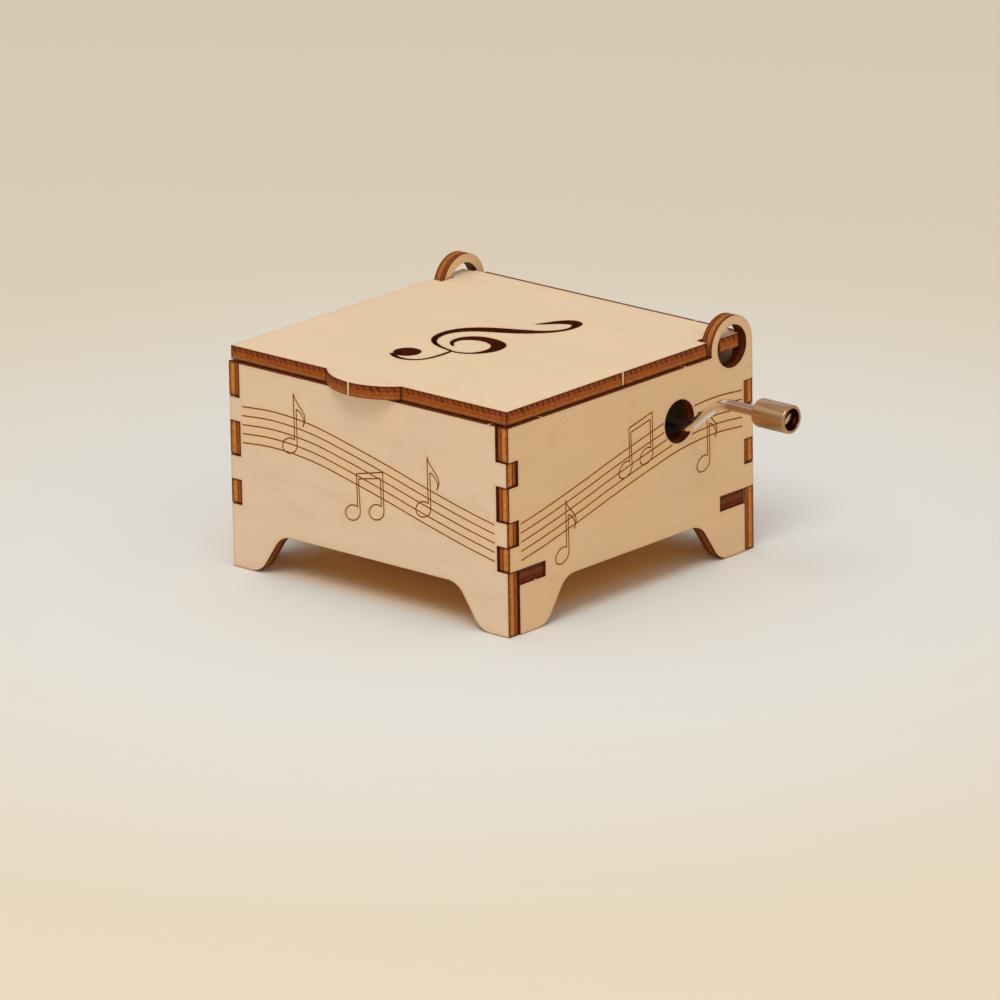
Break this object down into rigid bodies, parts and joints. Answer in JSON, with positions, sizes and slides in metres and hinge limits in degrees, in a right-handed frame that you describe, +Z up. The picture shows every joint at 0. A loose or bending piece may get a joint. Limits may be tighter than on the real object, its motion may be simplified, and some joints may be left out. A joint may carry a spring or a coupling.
{
  "type": "hand-cranked music box",
  "caption": "Small square plywood music box on arched feet, with a hinged lid, a cut-out treble clef, a bent-wire hand crank and a cylinder-and-comb movement.",
  "frame": {"origin": "centre of the case's footprint, on the plane of its feet", "axes": "+Z up, -Y the front with the thumb catch, +X the side that the crank comes out of"},
  "size_m": [0.1013, 0.0766, 0.0492],
  "materials": {
    "plywood": "pale laser-cut plywood with burnt brown edges",
    "nickel_wire": "bright nickel plate",
    "nickel_knob": "turned, nickel plated",
    "brass": "satin",
    "acetal": "moulded, off-white",
    "steel": "satin",
    "plated_steel": "pressed, nickel plated",
    "comb_steel": "ground",
    "lead": "dull grey",
    "cast_zinc": "die cast, satin"
  },
  "bodies": {
    "case": {"front_panel": "plywood", "back_panel": "plywood", "left_panel": "plywood", "right_panel": "plywood", "base_board": "plywood", "bedplate": "cast_zinc", "bearing_plate": "plated_steel", "bearing_screw": "steel", "crank_bracket": "plated_steel", "bracket_screws": "steel", "comb": "comb_steel", "comb_weights": "lead", "comb_dampers": "steel", "comb_screws": "steel", "mounting_screws": "steel"},
    "lid": {"lid": "plywood"},
    "cylinder": {"pinned_cylinder": "brass", "cylinder_cap_front": "acetal", "cylinder_cap_back": "acetal", "cylinder_arbor": "steel", "worm_wheel": "acetal"},
    "crank": {"crank_shaft": "nickel_wire", "worm": "brass"},
    "knob": {"crank_knob": "nickel_knob"}
  },
  "joints": [
    {"name": "lid_hinge", "type": "hinge", "parent": "case", "child": "lid", "pos_m": [0, 0.0296, 0.0433], "axis": [-1, 0, 0], "range_deg": [0, 140]},
    {"name": "crank_turn", "type": "hinge", "parent": "case", "child": "crank", "pos_m": [0.04, 0.0144, 0.0306], "axis": [1, 0, 0], "continuous": true},
    {"name": "cylinder_turn", "type": "hinge", "parent": "case", "child": "cylinder", "pos_m": [0.014, 0, 0.0221], "axis": [0, 1, 0], "continuous": true},
    {"name": "knob_spin", "type": "hinge", "parent": "crank", "child": "knob", "pos_m": [0.06, 0.0144, 0.0371], "axis": [1, 0, 0], "continuous": true}
  ],
  "couplings": [
    {"joint": "cylinder_turn", "follows": "crank_turn", "ratio": -0.05}
  ]
}
